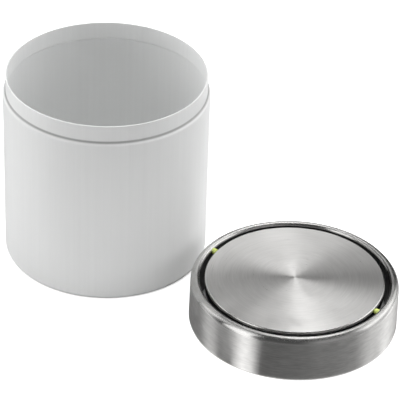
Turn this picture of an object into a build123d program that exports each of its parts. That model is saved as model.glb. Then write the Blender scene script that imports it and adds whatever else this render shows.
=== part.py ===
from build123d import *
import os
from math import cos, radians, sin, sqrt

# Small table-top waste bin: a white drawn-steel vessel, and a brushed-steel lid whose
# balanced flap swings on two pins. The lid is off and stands on the table beside the vessel.
# Millimetres. The origin is the centre of the vessel's foot on the table, +Z is up and
# +X points from the vessel to the lid.

# Vessel, one drawn and necked steel cup
vessel_radius = 60.0         # outside of the body, and of the lid's foot, which is flush with it
vessel_height = 117.1        # standing ring to rim
vessel_wall = 0.8
neck_step = 1.7              # the neck is drawn in by this much
neck_height = 10.3           # rim down to the top of the shoulder
shoulder_drop = 1.6          # height of the shoulder between neck and body
shoulder_round = 0.9         # bends of the shoulder, at the middle of the sheet
foot_round = 1.9             # bend from body to standing ring, at the middle of the sheet
standing_ring_width = 4.6    # flat ring that stands on the table side, up to the bend
panel_rise = 1.6             # the floor is set up from the standing ring
panel_slope = 1.8            # width of the slope between standing ring and floor
panel_round = 1.0
rim_edge_round = 0.3         # broken edges of the cut rim

# Base pad, a soft disc glued under the floor of the vessel
pad_proud = 0.4              # stands out below the standing ring
pad_side_gap = 0.6
pad_edge_round = 0.5
pad_groove_count = 3
pad_groove_pitch = 14.0
pad_groove_width = 1.2
pad_groove_depth = 0.3

# Lid ring, a drawn steel band whose rim rolls over and turns down inside
ring_height = 27.2
ring_wall = 0.8
ring_draft = 0.4             # the top is this much smaller in radius than the foot
ring_rim_width = 5.3         # outside of the band to the opening, across the rolled rim
ring_outer_round = 3.0       # bends of the rolled rim, at the middle of the sheet
ring_inner_round = 1.4
ring_flange_depth = 3.0      # rim down to the edge of the turned-in flange
ring_edge_round = 0.25

# Lid carrier, a moulded ring inside the band that centres the lid in the neck
carrier_set_back = 0.3       # its bore is this much wider than the opening
carrier_wall = 1.6
carrier_fit = 0.1            # room to the steel band
carrier_foot_height = 2.0    # table to the lower edge of the plug skirt
plug_clearance = 0.35        # skirt to the inside of the neck
seat_gap = 0.3               # the band clears the shoulder when the carrier sits on the rim
rib_count = 24
rib_thickness = 1.2
rib_top_height = 20.6
boss_width = 8.0
boss_bottom_height = 20.4
boss_edge_gap = 1.1          # boss to the inside of the band

# Flap, a pressed steel cap over a moulded frame
flap_gap = 2.7               # dark gap between flap and opening
flap_drop = 0.35             # the flap's edge lies this far below the rim
flap_wall = 0.6
flap_crown = 0.8             # the middle of the cap stands this much above its edge
flap_edge_depth = 1.8        # height of the cap's rolled edge
flap_edge_round = 0.9        # outside
frame_fit = 0.1              # cap to frame
frame_plate = 1.5
frame_step_in = 0.3          # the frame's side lies this far inside the cap's side
frame_depth = 7.0            # edge of the cap down to the frame's lower edge
frame_side_wall = 1.8
frame_rib_count = 12
frame_rib_thickness = 1.2
frame_rib_depth = 3.2        # below the plate's underside at its edge
hub_width = 6.4
hub_length = 5.0

# Pivot pins, each one moulding: tail in the carrier, collar in the gap, journal in the hub
pivot_drop = 2.0             # edge of the cap down to the pin's axis
pivot_turn = 1.8             # degrees from +X to the pins' line, seen from above
pin_radius = 1.1
pin_running_fit = 0.05       # radial, journal in the hub's bore
pin_press_fit = 0.01         # radial, tail in the carrier's bore
pin_tail_length = 2.1
pin_journal_length = 5.2
collar_radius = 1.75
collar_round = 0.75
collar_side_gap = 0.2        # collar to the flap, and room for side play
collar_end_gap = 0.05        # collar to the carrier
collar_notch_gap = 0.3       # collar to the notch in the ring's flange
journal_notch_gap = 0.3      # journal to the notch in the cap's edge

# Counterweight, a turned steel slug that brings the flap back to level
weight_radius = 16.0
weight_height = 7.0
weight_edge_round = 0.6
weight_drop = 2.6            # plate's underside at the middle down to the slug, across the stop ribs
weight_side_gap = 0.2
pocket_wall = 1.4
stop_rib_thickness = 1.6

# Flap cover, the moulded underside that holds the slug, and its screws
cover_wall = 1.4
cover_side_gap = 0.3         # its rim lies this far inside the frame's side
cover_cup_gap = 0.3          # cup to the pocket wall
cover_cup_round = 2.0
cover_foot_round = 1.2       # between the cup and the flat rim
cover_edge_round = 0.6
screw_count = 3
screw_circle_radius = 34.0
screw_first_angle = 30.0
screw_radius = 1.25
screw_bore_gap = 0.05
screw_length = 5.6           # under the head
screw_head_radius = 2.6
screw_head_height = 1.7
screw_drive_width = 0.9
screw_drive_depth = 0.9
screw_boss_radius = 3.2

# Lid on the table
lid_side_gap = 11.5          # clear space between vessel and lid

# Heights and radii that follow from the sizes above
floor_underside = pad_proud + panel_rise
rim_height = pad_proud + vessel_height
neck_radius = vessel_radius - neck_step
neck_bore_radius = neck_radius - vessel_wall
shoulder_top = rim_height - neck_height
shoulder_bottom = shoulder_top - shoulder_drop
floor_radius = vessel_radius - foot_round - standing_ring_width - panel_slope
pad_radius = floor_radius - pad_side_gap

ring_foot_radius = vessel_radius
ring_top_radius = ring_foot_radius - ring_draft
opening_radius = ring_top_radius - ring_rim_width
flange_outer_radius = opening_radius + ring_wall
flange_bottom = ring_height - ring_flange_depth

flap_radius = opening_radius - flap_gap
flap_edge_height = ring_height - flap_drop
flap_edge_bottom = flap_edge_height - flap_edge_depth
pivot_height = flap_edge_height - pivot_drop
frame_side_radius = flap_radius - frame_step_in
frame_bottom = flap_edge_height - frame_depth
plate_top_middle = flap_edge_height + flap_crown - flap_wall - frame_fit
plate_underside_middle = plate_top_middle - frame_plate
plate_underside_edge = plate_underside_middle - flap_crown
weight_top = plate_underside_middle - weight_drop
weight_bottom = weight_top - weight_height
pocket_radius = weight_radius + weight_side_gap

collar_inner_end = flap_radius + collar_side_gap
carrier_bore_radius = opening_radius + carrier_set_back
lip_radius = flange_outer_radius + carrier_fit
collar_outer_end = lip_radius - collar_end_gap
lip_height = ring_height - ring_wall - (ring_inner_round - ring_wall / 2) - carrier_fit
seat_height = neck_height + seat_gap
plug_radius = neck_bore_radius - plug_clearance

lid_distance = vessel_radius + lid_side_gap + ring_foot_radius
lid_place = Location((lid_distance, 0, 0), (0, 0, pivot_turn))


def band_bore_radius(height):
    """Inside of the tapered steel band at a height above the lid's foot."""
    return ring_foot_radius - ring_wall - ring_draft * height / ring_height


def turned(section):
    """A solid of revolution about the upright axis from a half section drawn in X and Y."""
    return revolve(Plane.XZ * section, Axis.Z)


def pressed_sheet(points, bends, wall, edge_vertices, edge_round):
    """A round pressed shell. The points follow the middle of the sheet from the inside out,
    and edge_vertices picks the two corners of its cut edge, which are broken."""
    middle = FilletPolyline(*points, radius=bends)
    section = trace(middle.edges(), line_width=wall)
    corners = edge_vertices(section.vertices().sort_by(Axis.Y))
    return turned(fillet(corners, edge_round))


def crowned_section(radius, edge_height, edge_round, bottom):
    """Half section of a disc with a crowned top and a rounded edge, down to a flat bottom."""
    middle_height = edge_height + flap_crown
    sphere_radius = (radius ** 2 + flap_crown ** 2) / (2 * flap_crown)
    half_way = radius / 2
    half_way_height = middle_height - sphere_radius + sqrt(sphere_radius ** 2 - half_way ** 2)
    crown = ThreePointArc((0, middle_height), (half_way, half_way_height), (radius, edge_height))
    side = Polyline((radius, edge_height), (radius, bottom), (0, bottom), (0, middle_height))
    section = make_face(crown.edges() + side.edges())
    corner = section.vertices().sort_by_distance((radius, edge_height))[0]
    return fillet(corner, edge_round)


def box_between(x_span, y_span, z_span):
    """A box from its spans along X, Y and Z."""
    spans = (x_span, y_span, z_span)
    size = [high - low for low, high in spans]
    centre = [(low + high) / 2 for low, high in spans]
    return Pos(*centre) * Box(*size)


def rod_along_x(radius, start, end, height):
    """A rod along X between two distances from the lid's axis."""
    middle = (start + end) / 2
    return Pos(middle, 0, height) * Rot(0, 90, 0) * Cylinder(radius, end - start)


def at_both_pivots(solid):
    """The solid as built on the +X side, and turned to the -X side."""
    return [solid, Rot(0, 0, 180) * solid]


def make_vessel():
    half = vessel_wall / 2
    body = vessel_radius - half
    neck = neck_radius - half
    points = [
        (0, floor_underside + half),
        (floor_radius, floor_underside + half),
        (floor_radius + panel_slope, pad_proud + half),
        (body, pad_proud + half),
        (body, shoulder_bottom),
        (neck, shoulder_top),
        (neck, rim_height),
    ]
    bends = [panel_round, panel_round, foot_round, shoulder_round, shoulder_round]
    return pressed_sheet(points, bends, vessel_wall, lambda v: v[-2:], rim_edge_round)


def make_base_pad():
    pad = Pos(0, 0, floor_underside / 2) * Cylinder(pad_radius, floor_underside)
    pad = fillet(pad.edges().group_by(Axis.Z)[0], pad_edge_round)
    for index in range(1, pad_groove_count + 1):
        inner = index * pad_groove_pitch - pad_groove_width / 2
        groove = Cylinder(inner + pad_groove_width, 2 * pad_groove_depth)
        pad -= groove - Cylinder(inner, 2 * pad_groove_depth)
    return pad


def make_lid_ring():
    half = ring_wall / 2
    flange = opening_radius + half
    foot_lift = half * ring_draft / ring_height    # keeps the sloped band's cut edge on the table
    points = [
        (ring_foot_radius - half, foot_lift),
        (ring_top_radius - half, ring_height - half),
        (flange, ring_height - half),
        (flange, flange_bottom),
    ]
    bends = [ring_outer_round, ring_inner_round]
    ring = pressed_sheet(points, bends, ring_wall, lambda v: v[:2], ring_edge_round)
    # A notch in the flange lets each pin's collar through
    notch_radius = collar_radius + collar_notch_gap
    flange_span = (opening_radius - ring_wall, flange_outer_radius + ring_wall)
    notch = rod_along_x(notch_radius, *flange_span, pivot_height)
    notch += box_between(
        flange_span,
        (-notch_radius, notch_radius),
        (flange_bottom - ring_wall, pivot_height),
    )
    for cutter in at_both_pivots(notch):
        ring -= cutter
    return ring


def make_lid_carrier():
    wall_outer = carrier_bore_radius + carrier_wall
    skirt_inner = plug_radius - carrier_wall
    flange_top = seat_height + carrier_wall
    lip_bottom = flange_bottom - carrier_fit
    section = make_face(Polyline(
        (skirt_inner, carrier_foot_height),
        (plug_radius, carrier_foot_height),
        (plug_radius, seat_height),
        (band_bore_radius(seat_height) - carrier_fit, seat_height),
        (band_bore_radius(flange_top) - carrier_fit, flange_top),
        (wall_outer, flange_top),
        (wall_outer, lip_bottom - carrier_wall),
        (lip_radius + carrier_wall, lip_bottom),
        (lip_radius + carrier_wall, lip_height),
        (lip_radius, lip_height),
        (lip_radius, lip_bottom),
        (carrier_bore_radius, lip_bottom),
        (carrier_bore_radius, seat_height),
        (skirt_inner, seat_height - carrier_wall),
        close=True,
    ).edges())
    carrier = turned(section)

    # Upright ribs stiffen the channel behind the steel band
    rib_section = make_face(Polyline(
        (wall_outer - carrier_fit, seat_height),
        (band_bore_radius(seat_height) - carrier_fit, seat_height),
        (band_bore_radius(rib_top_height) - carrier_fit, rib_top_height),
        (wall_outer - carrier_fit, rib_top_height),
        close=True,
    ).edges())
    rib = extrude(Plane.XZ * rib_section, rib_thickness / 2, both=True)
    rib_step = 360 / rib_count
    for index in range(rib_count):
        carrier += Rot(0, 0, (index + 0.5) * rib_step) * rib

    # A boss at each side holds the tail of a pin
    boss_outer = ring_top_radius - ring_wall - boss_edge_gap
    boss = box_between(
        (lip_radius, boss_outer),
        (-boss_width / 2, boss_width / 2),
        (boss_bottom_height, lip_height),
    )
    bore = rod_along_x(pin_radius + pin_press_fit, opening_radius - ring_wall, boss_outer + 1, pivot_height)
    collar_pocket = rod_along_x(
        collar_radius + collar_notch_gap, opening_radius - ring_wall, lip_radius, pivot_height)
    for solid in at_both_pivots(boss):
        carrier += solid
    for cutter in at_both_pivots(collar_pocket) + at_both_pivots(bore):
        carrier -= cutter
    return carrier


def make_pivot_pin():
    """Built along +X: tail outside, collar in the gap, journal inside."""
    tail = rod_along_x(pin_radius, collar_outer_end, collar_outer_end + pin_tail_length, pivot_height)
    journal = rod_along_x(
        pin_radius, collar_inner_end - pin_journal_length, collar_inner_end, pivot_height)
    collar = rod_along_x(collar_radius, collar_inner_end, collar_outer_end, pivot_height)
    collar = fillet(collar.edges().filter_by(GeomType.CIRCLE), collar_round)
    return tail + collar + journal


def make_flap_disc():
    outside = turned(crowned_section(
        flap_radius, flap_edge_height, flap_edge_round, flap_edge_bottom))
    inside = turned(crowned_section(
        flap_radius - flap_wall,
        flap_edge_height - flap_wall,
        flap_edge_round - flap_wall,
        flap_edge_bottom - flap_wall,
    ))
    disc = outside - inside
    notch_radius = pin_radius + journal_notch_gap
    notch_span = (flap_radius - 2 * flap_wall, flap_radius + flap_wall)
    notch = rod_along_x(notch_radius, *notch_span, pivot_height)
    for cutter in at_both_pivots(notch):
        disc -= cutter
    return disc


def make_flap_frame():
    plate_radius = flap_radius - flap_wall - frame_fit
    inner_radius = frame_side_radius - frame_side_wall
    side_top = flap_edge_bottom - frame_fit
    shell = turned(crowned_section(
        plate_radius, plate_top_middle - flap_crown, frame_fit, side_top))
    side = Pos(0, 0, (side_top + frame_bottom) / 2) * Cylinder(frame_side_radius, side_top - frame_bottom)
    hollow = turned(crowned_section(
        inner_radius, plate_underside_edge, frame_fit, frame_bottom - frame_side_wall))
    frame = shell + side - hollow

    # Stiffening ribs run from the pocket to the side, and stop ribs meet the slug
    rib_bottom = plate_underside_edge - frame_rib_depth
    rib = box_between(
        (pocket_radius + pocket_wall / 2, inner_radius + frame_side_wall / 2),
        (-frame_rib_thickness / 2, frame_rib_thickness / 2),
        (rib_bottom, plate_underside_edge + frame_plate / 2),
    )
    ribs = [Rot(0, 0, index * 360 / frame_rib_count) * rib for index in range(frame_rib_count)]
    pocket_span = (weight_bottom + weight_edge_round, plate_underside_middle)
    pocket_height = pocket_span[1] - pocket_span[0]
    pocket = Cylinder(pocket_radius + pocket_wall, pocket_height) - Cylinder(pocket_radius, pocket_height)
    pocket = Pos(0, 0, sum(pocket_span) / 2) * pocket
    stop = box_between(
        (-pocket_radius - pocket_wall / 2, pocket_radius + pocket_wall / 2),
        (-stop_rib_thickness / 2, stop_rib_thickness / 2),
        (weight_top, plate_underside_middle + frame_plate / 2),
    )
    frame += pocket + stop + Rot(0, 0, 90) * stop
    frame += ribs

    # A hub at each side runs on the journal of a pin
    hub_bottom = pivot_height - hub_width / 2
    hub = box_between(
        (inner_radius - hub_length, inner_radius + frame_side_wall / 2),
        (-hub_width / 2, hub_width / 2),
        (hub_bottom, plate_underside_edge + frame_plate / 2),
    )
    bore = rod_along_x(
        pin_radius + pin_running_fit,
        collar_inner_end - pin_journal_length - collar_side_gap,
        flap_radius + flap_wall,
        pivot_height,
    )
    for solid in at_both_pivots(hub):
        frame += solid
    for cutter in at_both_pivots(bore):
        frame -= cutter

    # Screw bosses stand on the plate and meet the cover
    boss_height = plate_underside_edge + frame_plate / 2 - frame_bottom
    boss = Cylinder(screw_boss_radius, boss_height)
    pilot = Cylinder(screw_radius + screw_bore_gap, 2 * screw_length)
    for place in screw_places(frame_bottom):
        frame += place * Pos(0, 0, boss_height / 2) * boss
        frame -= place * pilot
    return frame


def screw_places(height):
    """Places of the screws round the flap's axis."""
    places = []
    for index in range(screw_count):
        angle = radians(screw_first_angle + index * 360 / screw_count)
        places.append(Pos(screw_circle_radius * cos(angle), screw_circle_radius * sin(angle), height))
    return places


def make_counterweight():
    slug = Pos(0, 0, (weight_top + weight_bottom) / 2) * Cylinder(weight_radius, weight_height)
    return fillet(slug.edges().filter_by(GeomType.CIRCLE), weight_edge_round)


def make_flap_cover():
    cover_radius = frame_side_radius - cover_side_gap
    cup_inner = pocket_radius + pocket_wall + cover_cup_gap
    cup_outer = cup_inner + cover_wall
    flat_bottom = frame_bottom - cover_wall
    cup_bottom = weight_bottom - cover_wall
    section = make_face(Polyline(
        (0, weight_bottom),
        (cup_inner, weight_bottom),
        (cup_inner, frame_bottom),
        (cover_radius, frame_bottom),
        (cover_radius, flat_bottom),
        (cup_outer, flat_bottom),
        (cup_outer, cup_bottom),
        (0, cup_bottom),
        close=True,
    ).edges())
    cup_corner = section.vertices().sort_by_distance((cup_outer, cup_bottom))[0]
    section = fillet(cup_corner, cover_cup_round)
    cup_foot = section.vertices().sort_by_distance((cup_outer, flat_bottom))[0]
    section = fillet(cup_foot, cover_foot_round)
    rim_corner = section.vertices().sort_by_distance((cover_radius, flat_bottom))[0]
    cover = turned(fillet(rim_corner, cover_edge_round))
    for place in screw_places(flat_bottom):
        cover -= place * Cylinder(screw_radius + screw_bore_gap, 4 * cover_wall)
    return cover


def make_screw():
    """One pan-head screw, its head down and the underside of the head at the origin."""
    head = Pos(0, 0, -screw_head_height / 2) * Cylinder(screw_head_radius, screw_head_height)
    head = fillet(head.edges().group_by(Axis.Z)[0], screw_head_height / 2)
    shank = Pos(0, 0, screw_length / 2) * Cylinder(screw_radius, screw_length)
    slot_length = 1.2 * screw_head_radius
    slot = Pos(0, 0, -screw_head_height) * Box(slot_length, screw_drive_width, 2 * screw_drive_depth)
    return head + shank - slot - Rot(0, 0, 90) * slot


def make_cover_screws():
    screw = make_screw()
    return Compound([place * screw for place in screw_places(frame_bottom - cover_wall)])


def write_node(name, shape):
    shape.label = name
    export_step(shape, f"parts/{name}.step")


os.makedirs("parts", exist_ok=True)

write_node("vessel", make_vessel())
write_node("base_pad", make_base_pad())

pin_right, pin_left = at_both_pivots(make_pivot_pin())
write_node("lid_ring", lid_place * make_lid_ring())
write_node("lid_carrier", lid_place * make_lid_carrier())
write_node("pivot_pin_left", lid_place * pin_left)
write_node("pivot_pin_right", lid_place * pin_right)

write_node("flap_disc", lid_place * make_flap_disc())
write_node("flap_frame", lid_place * make_flap_frame())
write_node("counterweight", lid_place * make_counterweight())
write_node("flap_cover", lid_place * make_flap_cover())
write_node("cover_screws", lid_place * make_cover_screws())
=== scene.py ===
from math import atan2, cos, hypot, pi, radians, sin, tan

import bmesh
import bpy
from mathutils import Matrix, Vector


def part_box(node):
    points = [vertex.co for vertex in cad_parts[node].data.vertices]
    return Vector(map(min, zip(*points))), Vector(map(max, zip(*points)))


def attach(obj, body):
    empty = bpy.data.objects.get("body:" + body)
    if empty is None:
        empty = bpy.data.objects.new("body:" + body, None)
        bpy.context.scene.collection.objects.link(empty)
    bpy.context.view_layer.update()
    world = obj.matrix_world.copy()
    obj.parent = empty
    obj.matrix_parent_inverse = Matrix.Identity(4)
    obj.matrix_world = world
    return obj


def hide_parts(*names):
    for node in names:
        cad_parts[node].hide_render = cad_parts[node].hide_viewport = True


# Small table-top waste bin: a white coated steel vessel and, beside it, its brushed-steel lid
# with a balanced swing flap. Everything is in metres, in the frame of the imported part.
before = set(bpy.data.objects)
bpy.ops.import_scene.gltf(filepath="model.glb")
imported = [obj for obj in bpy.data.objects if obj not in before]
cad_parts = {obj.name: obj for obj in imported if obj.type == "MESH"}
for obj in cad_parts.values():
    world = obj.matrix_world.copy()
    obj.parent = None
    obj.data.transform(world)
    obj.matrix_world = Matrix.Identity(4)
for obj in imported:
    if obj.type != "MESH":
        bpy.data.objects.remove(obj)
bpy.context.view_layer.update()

MM = 0.001

# Places and outer sizes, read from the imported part
vessel_low, vessel_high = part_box("vessel")
ring_low, ring_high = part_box("lid_ring")
disc_low, disc_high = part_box("flap_disc")
pad_low, pad_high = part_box("base_pad")
screws_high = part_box("cover_screws")[1]
pin_left_low, pin_left_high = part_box("pivot_pin_left")
pin_right_low, pin_right_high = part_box("pivot_pin_right")

vessel_radius = vessel_high.x
rim_height = vessel_high.z
standing_height = vessel_low.z
lid_centre = Vector(((ring_low.x + ring_high.x) / 2, 0.0, 0.0))
ring_foot_radius = vessel_radius
ring_height = ring_high.z
flap_top = disc_high.z
flap_bottom = disc_low.z
pin_height = (pin_left_low.z + pin_left_high.z) / 2
pins_turn = atan2(
    (pin_right_low.y + pin_right_high.y - pin_left_low.y - pin_left_high.y) / 2,
    (pin_right_low.x + pin_right_high.x - pin_left_low.x - pin_left_high.x) / 2,
)

# Vessel
vessel_wall = 0.8 * MM
neck_step = 1.7 * MM
neck_height = 10.3 * MM
shoulder_drop = 1.6 * MM
shoulder_round = 0.9 * MM
foot_round = 1.9 * MM
standing_ring_width = 4.6 * MM
panel_rise = 1.6 * MM
panel_slope = 1.8 * MM
panel_round = 1.0 * MM
rim_edge_round = 0.3 * MM
shade_line_below_top = 0.15  # where the painted shade line round the shoulder lies, and how wide, in shoulder drops
shade_line_spread = 0.8

# Lid ring
ring_wall = 0.8 * MM
ring_draft = 0.4 * MM
ring_rim_width = 5.3 * MM
ring_outer_round = 3.0 * MM
ring_inner_round = 1.4 * MM
ring_flange_depth = 3.0 * MM
ring_edge_round = 0.25 * MM
collar_notch_radius = 2.05 * MM
# Reach of the painted shade on the flange's inner face: out from the flange, and down from the ring's top
flange_shade_width = 1.2 * MM
flange_shade_drop = 1.5 * MM

# Flap's cap
flap_gap = 2.7 * MM
flap_radius = vessel_radius - ring_draft - ring_rim_width - flap_gap
flap_wall = 0.6 * MM
flap_crown = 0.8 * MM
flap_edge_round = 0.9 * MM
journal_notch_radius = 1.4 * MM

# Base pad
pad_edge_round = 0.5 * MM
pad_groove_count = 3
pad_groove_pitch = 14.0 * MM
pad_groove_width = 1.2 * MM
pad_groove_depth = 0.3 * MM
pad_groove_round = 0.12 * MM

# Cover screws
screw_count = 3
screw_circle_radius = 34.0 * MM
screw_first_angle = radians(30.0)
screw_radius = 1.25 * MM
screw_core_radius = 0.95 * MM
screw_length = 5.6 * MM
screw_thread_pitch = 0.9 * MM
screw_thread_start = 0.3 * MM
screw_thread_marks = (0.35, 0.6, 0.72)  # end of the root, start and end of the crest, in pitches
screw_head_radius = 2.6 * MM
screw_head_height = 1.7 * MM
screw_drive_width = 0.9 * MM
screw_drive_depth = 0.9 * MM

# Fineness of the meshes
steps_round = 360
longest_run = 2.5 * MM
holding_run = 0.12 * MM
arc_step = radians(9.0)
join_distance = 0.002 * MM
sharp_corner = radians(38.0)
cutter_sides = 48

part_origin = (0.0, 0.0, 0.0)


# Sections, drawn in radius and height


def section_path(corners, rounds):
    """Stations along a line through the corners with its bends rounded. Each station is
    (radius, height, direction in radius, direction in height, 1 on a bend or 0)."""
    points = [Vector(corner) for corner in corners]
    stations = []
    start = points[0]
    for index in range(1, len(points) - 1):
        before = (points[index] - points[index - 1]).normalized()
        after = (points[index + 1] - points[index]).normalized()
        turn = atan2(before.x * after.y - before.y * after.x, before.dot(after))
        bend = rounds[index - 1]
        back = bend * tan(abs(turn) / 2)
        arc_start = points[index] - before * back
        stations += straight_run(start, arc_start)
        side = 1 if turn > 0 else -1
        centre = arc_start + Vector((-before.y, before.x)) * (side * bend)
        steps = max(2, round(abs(turn) / arc_step))
        for step in range(1, steps):
            along = before.copy()
            along.rotate(Matrix.Rotation(turn * step / steps, 2))
            place = centre + Vector((along.y, -along.x)) * (side * bend)
            stations.append((place.x, place.y, along.x, along.y, 1.0))
        start = points[index] + after * back
    return stations + straight_run(start, points[-1])


def straight_run(start, end):
    """Stations along a straight run, with close ones near both ends that hold its shading."""
    length = (end - start).length
    if length < holding_run / 10:
        return []
    along = (end - start) / length
    count = max(1, round(length / longest_run))
    shares = [index / count for index in range(count + 1)]
    if length > 4 * holding_run:
        shares += [holding_run / length, 1 - holding_run / length]
    places = [start + along * (length * share) for share in sorted(shares)]
    return [(place.x, place.y, along.x, along.y, 0.0) for place in places]


def edge_end(station, half, edge_round):
    """Outline round the cut end of a sheet, from its left side to its right side."""
    end = Vector(station[:2])
    along = Vector(station[2:4])
    left = Vector((-along.y, along.x))
    if edge_round == 0:
        return [(*(end + left * half), 1.0), (*(end - left * half), 1.0)]
    steps = max(2, round(pi / 2 / arc_step))
    outline = []
    for side in (1, -1):
        centre = end + left * (side * (half - edge_round)) - along * edge_round
        turns = [pi / 2 * step / steps for step in range(steps + 1)]
        for turn in turns if side == 1 else reversed(turns):
            place = centre + (left * (side * cos(turn)) + along * sin(turn)) * edge_round
            outline.append((*place, 1.0))
    return outline


def sheet_outline(stations, wall, start_round, end_round):
    """Outline of a bent sheet round its middle line. A start on the axis stays open."""
    half = wall / 2
    starts_on_axis = stations[0][0] < holding_run
    cuts = (0.0 if starts_on_axis else start_round, end_round)
    ends = (Vector(stations[0][:2]), Vector(stations[-1][:2]))
    kept = [
        station for station in stations
        if (Vector(station[:2]) - ends[0]).length >= cuts[0] * 1.2
        and (Vector(station[:2]) - ends[1]).length >= cuts[1] * 1.2
    ]
    left = [(r - dz * half, z + dr * half, bend) for r, z, dr, dz, bend in kept]
    right = [(r + dz * half, z - dr * half, bend) for r, z, dr, dz, bend in kept]
    outline = left + edge_end(stations[-1], half, end_round) + right[::-1]
    if starts_on_axis:
        return outline
    r, z, dr, dz, bend = stations[0]
    outline += edge_end((r, z, -dr, -dz, bend), half, start_round)
    return outline + outline[:1]


def solid_outline(corners, rounds):
    """Outline of a turned solid that starts and ends on the axis."""
    return [(r, z, bend) for r, z, dr, dz, bend in section_path(corners, rounds)]


# Objects and nodes


def new_object(name, data):
    """An object in the scene that holds a mesh, a lamp or a camera."""
    made = bpy.data.objects.new(name, data)
    bpy.context.scene.collection.objects.link(made)
    return made


def drawn_mesh(name, shape):
    """A mesh of a drawn shape, which is freed."""
    mesh = bpy.data.meshes.new(name)
    shape.to_mesh(mesh)
    shape.free()
    return mesh


def add_node(tree, kind, links=None, **settings):
    """A node with its settings, and its inputs set to values or linked to outputs."""
    node = tree.nodes.new(kind)
    for setting, value in settings.items():
        setattr(node, setting, value)
    for name, source in (links or {}).items():
        if isinstance(source, bpy.types.NodeSocket):
            tree.links.new(source, node.inputs[name])
        else:
            node.inputs[name].default_value = source
    return node


def math_node(tree, operation, first, second=None, clamp=False):
    """Output of a math node on one or two values or outputs."""
    links = {0: first} if second is None else {0: first, 1: second}
    return add_node(tree, "ShaderNodeMath", links, operation=operation, use_clamp=clamp).outputs[0]


def scaled(tree, value, factor):
    """Output of a product of two values or outputs."""
    return math_node(tree, "MULTIPLY", value, factor)


def vector_node(tree, operation, links, output=0):
    """Output of a vector math node."""
    return add_node(tree, "ShaderNodeVectorMath", links, operation=operation).outputs[output]


def part_of(tree, vector, axis):
    """One of a vector's three values."""
    return add_node(tree, "ShaderNodeSeparateXYZ", {0: vector}).outputs[axis]


def ranged(tree, value, low, high, interpolation="LINEAR"):
    """Output that goes from 0 to 1 as the value goes from low to high."""
    links = {"Value": value, "From Min": low, "From Max": high}
    return add_node(tree, "ShaderNodeMapRange", links, interpolation_type=interpolation).outputs[0]


# Geometry node trees


def new_tree(name, inputs):
    """A geometry tree with named inputs, and its input and output nodes."""
    tree = bpy.data.node_groups.new(name, "GeometryNodeTree")
    for socket_name, kind in inputs:
        tree.interface.new_socket(socket_name, in_out="INPUT", socket_type=kind)
    tree.interface.new_socket("Piece", in_out="OUTPUT", socket_type="NodeSocketGeometry")
    return tree, tree.nodes.new("NodeGroupInput"), tree.nodes.new("NodeGroupOutput")


def close_tree(tree, geometry, given, result):
    """Makes copies real and gives the piece its finish."""
    real = add_node(tree, "GeometryNodeRealizeInstances", {"Geometry": geometry})
    finished = add_node(tree, "GeometryNodeSetMaterial", {
        "Geometry": real.outputs[0],
        "Material": given.outputs["Finish"],
    })
    tree.links.new(finished.outputs[0], result.inputs["Piece"])
    return tree


def turning_tree():
    """Turns a section round the upright axis. The map runs round the piece and along the
    section, and the section's run and bends are kept for the finishes."""
    tree, given, result = new_tree("Section turned round the axis", [
        ("Section", "NodeSocketGeometry"),
        ("Steps round", "NodeSocketInt"),
        ("Centre", "NodeSocketVector"),
        ("Join distance", "NodeSocketFloat"),
        ("Finish", "NodeSocketMaterial"),
    ])
    section = given.outputs["Section"]
    counted = add_node(tree, "GeometryNodeAttributeDomainSize", {"Geometry": section}, component="MESH")
    rows = counted.outputs["Point Count"]
    columns = math_node(tree, "ADD", given.outputs["Steps round"], 1.0)
    grid = add_node(tree, "GeometryNodeMeshGrid", {
        "Size X": 1.0,
        "Size Y": 1.0,
        "Vertices X": columns,
        "Vertices Y": rows,
    })
    place = add_node(tree, "GeometryNodeInputPosition").outputs[0]
    shares = vector_node(tree, "ADD", {0: place, 1: (0.5, 0.5, 0.0)})
    share = add_node(tree, "ShaderNodeSeparateXYZ", {0: shares})
    row = scaled(tree, share.outputs["Y"], math_node(tree, "SUBTRACT", rows, 1.0))
    index = add_node(tree, "FunctionNodeFloatToInt", {0: row}, rounding_mode="ROUND").outputs[0]

    def sampled(value, kind):
        """A value of the section's points, read at the row of the grid."""
        links = {"Geometry": section, "Value": value, "Index": index}
        return add_node(tree, "GeometryNodeSampleIndex", links, data_type=kind, domain="POINT").outputs[0]

    def sampled_kept(name):
        """The same for a value that is kept on the section under a name."""
        kept = add_node(tree, "GeometryNodeInputNamedAttribute", {"Name": name}, data_type="FLOAT")
        return sampled(kept.outputs["Attribute"], "FLOAT")

    def keep(mesh, name, value, kind="FLOAT"):
        """Keeps a value under a name on the corners of a mesh."""
        links = {"Geometry": mesh, "Name": name, "Value": value}
        return add_node(
            tree, "GeometryNodeStoreNamedAttribute", links, data_type=kind, domain="CORNER").outputs[0]

    map_place = add_node(tree, "ShaderNodeCombineXYZ", {0: share.outputs["X"], 1: sampled_kept("share")})
    marked = keep(grid.outputs["Mesh"], "UVMap", map_place.outputs[0], "FLOAT2")
    marked = keep(marked, "run", sampled_kept("run"))
    marked = keep(marked, "bend", sampled_kept("bend"))
    turned = add_node(tree, "ShaderNodeVectorRotate", {
        "Vector": sampled(place, "FLOAT_VECTOR"),
        "Angle": scaled(tree, share.outputs["X"], 2 * pi),
    }, rotation_type="Z_AXIS")
    centred = vector_node(tree, "ADD", {0: turned.outputs[0], 1: given.outputs["Centre"]})
    shaped = add_node(tree, "GeometryNodeSetPosition", {
        "Geometry": marked,
        "Position": centred,
    })
    joined = add_node(tree, "GeometryNodeMergeByDistance", {
        "Geometry": shaped.outputs[0],
        "Distance": given.outputs["Join distance"],
    })
    smooth = add_node(tree, "GeometryNodeSetShadeSmooth", {"Geometry": joined.outputs[0]})
    return close_tree(tree, smooth.outputs[0], given, result)


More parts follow.
